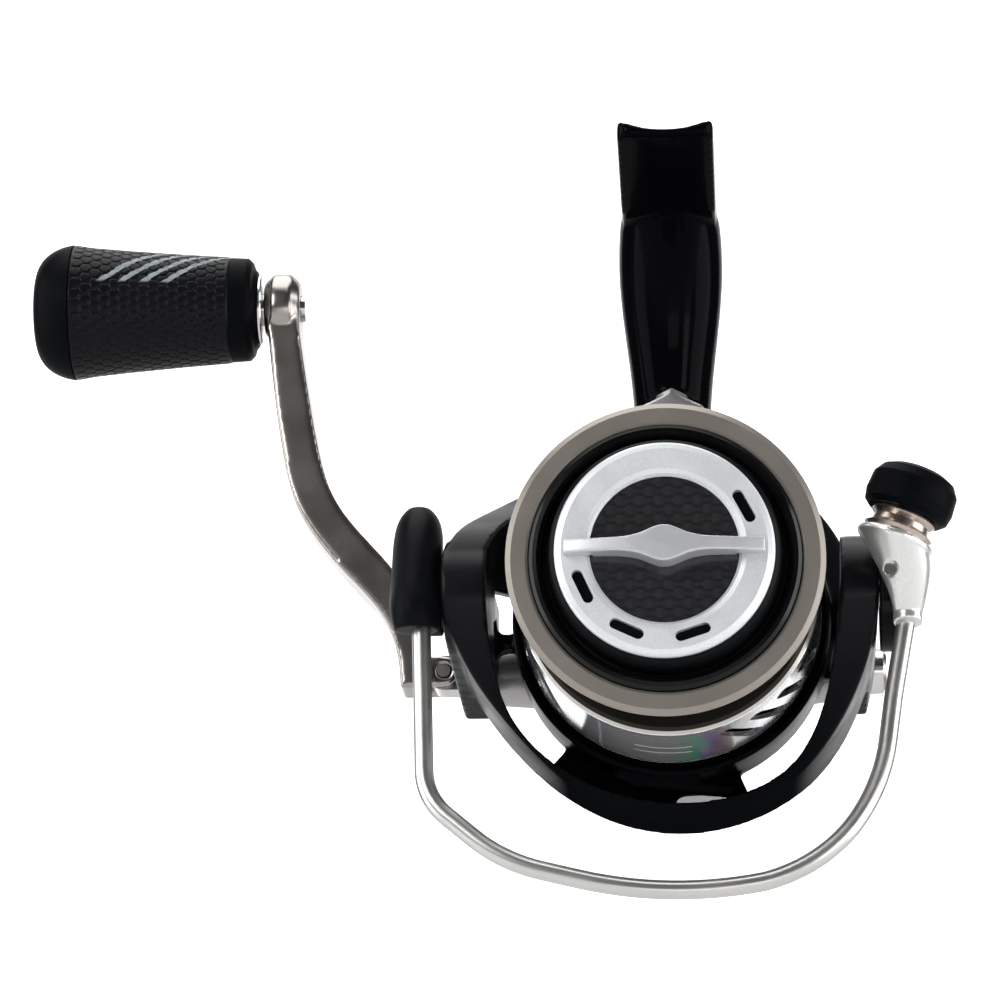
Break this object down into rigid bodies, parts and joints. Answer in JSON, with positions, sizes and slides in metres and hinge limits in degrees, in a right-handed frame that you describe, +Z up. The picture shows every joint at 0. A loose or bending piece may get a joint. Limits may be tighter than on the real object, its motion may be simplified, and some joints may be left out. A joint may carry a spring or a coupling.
{
  "type": "spinning reel",
  "caption": "Open-face fixed-spool fishing reel with a folding crank handle, wire bail, turning rotor, front drag knob and a rod foot on a stem.",
  "frame": {"origin": "middle of the foot's saddle, where the rod's reel seat lies on it", "axes": "+Z up into the rod, -Y the way the line leaves the spool, +X the side away from the handle"},
  "size_m": [0.1441, 0.0984, 0.1241],
  "materials": {
    "anodised_bronze": "satin bronze-grey anodising",
    "black_elastomer": "soft black",
    "polished_skirt": "mirror polish with a dark band",
    "bright_steel": "satin",
    "matte_silver": "matte silver paint on aluminium",
    "black_plastic": "fine satin black",
    "gloss_black": "gloss bluish black",
    "carbon_weave": "clear-coated woven carbon",
    "drag_felt": "greased felt and carbon cloth",
    "gear_brass": "machined",
    "gear_zinc": "die-cast zinc alloy",
    "silver_case": "satin silver paint on aluminium",
    "body_two_tone": "gloss black stem and silver gear case, paint on aluminium",
    "gunmetal_arm": "satin gunmetal bronze",
    "knob_rubber": "soft-touch black, embossed",
    "roller_coat": "titanium-coloured hard coat"
  },
  "bodies": {
    "frame": {"reel_body": "body_two_tone", "side_cover": "silver_case", "cover_screws": "bright_steel", "rear_cover": "gloss_black", "clutch_housing": "black_plastic", "clutch_screws": "bright_steel", "clutch_ring": "bright_steel", "clutch_rollers": "bright_steel", "pinion_bearing": "bright_steel", "drive_bearings": "bright_steel", "guide_rod": "bright_steel"},
    "drive": {"drive_gear": "gear_zinc", "drive_shaft": "bright_steel", "oscillation_driver": "gear_zinc", "handle_shank": "bright_steel", "handle_screw_cap": "matte_silver"},
    "handle": {"handle_arm": "gunmetal_arm", "fold_pin": "bright_steel", "knob_shaft": "bright_steel"},
    "knob": {"knob_washer": "bright_steel", "knob_core": "black_plastic", "knob_sleeve": "knob_rubber", "knob_end": "black_plastic", "knob_plug": "bright_steel"},
    "rotor_group": {"rotor": "gloss_black", "rotor_nut": "gear_brass", "pinion_gear": "gear_brass", "clutch_sleeve": "bright_steel", "bail_pivot_screws": "bright_steel", "bail_spring": "bright_steel"},
    "crosswind": {"oscillation_gear": "gear_zinc"},
    "shaft": {"main_shaft": "bright_steel", "spool_support": "black_plastic", "oscillation_slider": "gear_zinc", "drag_keyed_washer": "bright_steel", "drag_pressure_plate": "black_plastic"},
    "spool_group": {"spool": "polished_skirt", "lip_ring": "anodised_bronze", "drag_seal_ring": "black_elastomer", "spool_bearing": "bright_steel", "click_ratchet": "black_plastic", "line_clip": "bright_steel", "drag_friction_washers": "drag_felt", "drag_eared_washer": "bright_steel", "drag_retainer_ring": "bright_steel"},
    "drag_screw": {"drag_spring_washer": "bright_steel"},
    "drag_knob_group": {"drag_knob": "black_plastic", "drag_nut": "gear_brass", "drag_knob_ring": "matte_silver", "drag_knob_disc": "carbon_weave", "drag_knob_bar": "matte_silver"},
    "bail": {"bail_wire": "bright_steel", "bail_lever": "black_plastic", "bail_arm": "black_plastic", "bail_cone": "matte_silver", "cone_screw": "bright_steel", "roller_screw": "bright_steel", "roller_cap": "black_elastomer", "roller_bush": "black_plastic"},
    "line_roller_group": {"line_roller": "roller_coat"}
  },
  "joints": [
    {"name": "handle_turn", "type": "hinge", "parent": "frame", "child": "drive", "pos_m": [0, 0.006, -0.0771], "axis": [1, 0, 0], "continuous": true},
    {"name": "handle_fold", "type": "hinge", "parent": "drive", "child": "handle", "pos_m": [-0.0358, 0.006, -0.0771], "axis": [0, -1, 0], "range_deg": [0, 90]},
    {"name": "knob_spin", "type": "hinge", "parent": "handle", "child": "knob", "pos_m": [-0.08, 0.006, -0.0167], "axis": [1, 0, 0], "continuous": true},
    {"name": "rotor_spin", "type": "hinge", "parent": "frame", "child": "rotor_group", "pos_m": [0, 0, -0.0725], "axis": [0, 1, 0], "continuous": true},
    {"name": "crosswind_turn", "type": "hinge", "parent": "frame", "child": "crosswind", "pos_m": [-0.006, 0.018, -0.08094], "axis": [1, 0, 0], "continuous": true},
    {"name": "shaft_slide", "type": "slide", "parent": "frame", "child": "shaft", "axis": [0, 1, 0], "range_m": [-0.006, 0.006]},
    {"name": "spool_drag", "type": "hinge", "parent": "shaft", "child": "spool_group", "pos_m": [0, 0, -0.0725], "axis": [0, 1, 0], "continuous": true},
    {"name": "drag_knob_travel", "type": "slide", "parent": "shaft", "child": "drag_screw", "axis": [0, -1, 0], "range_m": [0, 0.0022]},
    {"name": "drag_knob_turn", "type": "hinge", "parent": "drag_screw", "child": "drag_knob_group", "pos_m": [0, 0, -0.0725], "axis": [0, -1, 0], "range_deg": [0, 1080]},
    {"name": "bail_flip", "type": "hinge", "parent": "rotor_group", "child": "bail", "pos_m": [0, -0.028, -0.073], "axis": [-1, 0, 0], "range_deg": [0, 105]},
    {"name": "roller_spin", "type": "hinge", "parent": "bail", "child": "line_roller_group", "pos_m": [0.0336, -0.041, -0.0681], "axis": [0.3584, 0, 0.9336], "continuous": true}
  ],
  "couplings": [
    {"joint": "rotor_spin", "follows": "handle_turn", "ratio": 5},
    {"joint": "crosswind_turn", "follows": "handle_turn", "ratio": -0.5},
    {"joint": "drag_knob_travel", "follows": "drag_knob_turn", "m_per_rad": 0.00011141}
  ]
}
